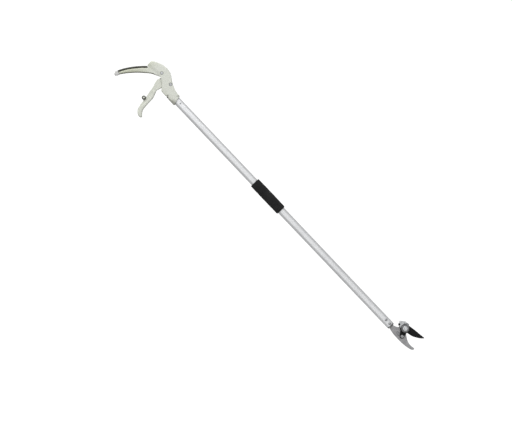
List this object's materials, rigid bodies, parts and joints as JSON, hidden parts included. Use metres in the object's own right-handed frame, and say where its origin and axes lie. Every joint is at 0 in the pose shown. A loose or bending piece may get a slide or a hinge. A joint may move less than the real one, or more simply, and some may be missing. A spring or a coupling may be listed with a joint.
{
  "type": "long-reach pruner",
  "caption": "Long-reach hand pruner: a trigger in a curved pistol handle pulls a rod through a foam-gripped pole to swing a bypass blade against a hooked counter blade.",
  "frame": {"origin": "middle of the foam grip, on the pole's axis", "axes": "+Z along the pole from the cutting head to the handle; +X in the plane of trigger and blade, away from the trigger's finger side; Y is the thickness, with the blade and pivot nut on the -Y side"},
  "size_m": [0.1658, 0.0401, 1.2416],
  "materials": {
    "cream_casting": "satin",
    "black_rubber": "matte",
    "light_plastic": "satin",
    "zinc_steel": "satin",
    "anodised_tube": "satin",
    "foam": "matte",
    "black_plastic": "satin",
    "nylon": "satin",
    "grey_steel": "satin",
    "black_steel": "satin"
  },
  "bodies": {
    "frame": {"handle_body": "cream_casting", "horn_top_pad": "black_rubber", "horn_end_cap": "light_plastic", "trigger_pivot_screw": "zinc_steel", "trigger_pivot_nut": "zinc_steel", "cheek_screw_near": "zinc_steel", "cheek_screw_far": "zinc_steel", "clamp_screw": "black_steel", "pole": "anodised_tube", "foam_grip": "foam", "pole_rivet": "zinc_steel", "rod_guide_upper": "nylon", "rod_guide_middle": "nylon", "rod_guide_lower": "nylon", "tube_end_plug": "black_plastic", "tang_rivet_lower": "zinc_steel", "tang_rivet_upper": "zinc_steel", "counter_blade": "grey_steel", "pivot_bolt": "zinc_steel", "pivot_bushing": "zinc_steel", "bearing_washer": "zinc_steel", "spring_bracket": "zinc_steel", "lock_disc": "zinc_steel", "lock_screw": "zinc_steel", "pivot_nut": "zinc_steel", "spring_post": "black_steel", "return_spring": "black_steel"},
    "trigger": {"trigger": "cream_casting", "bumper_near": "black_rubber", "bumper_far": "black_rubber", "bumper_pin": "cream_casting", "yoke_pin": "zinc_steel"},
    "rod": {"rod_yoke": "zinc_steel", "rod_lock_nut": "zinc_steel", "pull_rod": "zinc_steel", "coupler_lock_nut": "zinc_steel", "rod_coupler": "zinc_steel", "coupler_pin": "zinc_steel", "pull_bar": "zinc_steel"},
    "blade": {"cutting_blade": "black_steel", "link_pin": "zinc_steel", "link_pin_clip": "zinc_steel"}
  },
  "joints": [
    {"name": "trigger_pull", "type": "hinge", "parent": "frame", "child": "trigger", "pos_m": [0.0202, 0, 0.4509], "axis": [0, 1, 0], "range_deg": [0, 42], "stiffness_Nm_per_rad": 0.6, "springref_deg": -57.3},
    {"name": "rod_slide", "type": "slide", "parent": "frame", "child": "rod", "axis": [0, 0, 1], "range_m": [0, 0.017]},
    {"name": "blade_pivot", "type": "hinge", "parent": "frame", "child": "blade", "pos_m": [0.0262, -0.006, -0.579], "axis": [0, 1, 0], "range_deg": [0, 38], "deforming": ["return_spring"]}
  ],
  "couplings": [
    {"joint": "rod_slide", "follows": "trigger_pull", "m_per_rad": 0.02319},
    {"joint": "blade_pivot", "follows": "trigger_pull", "ratio": 0.9047}
  ]
}
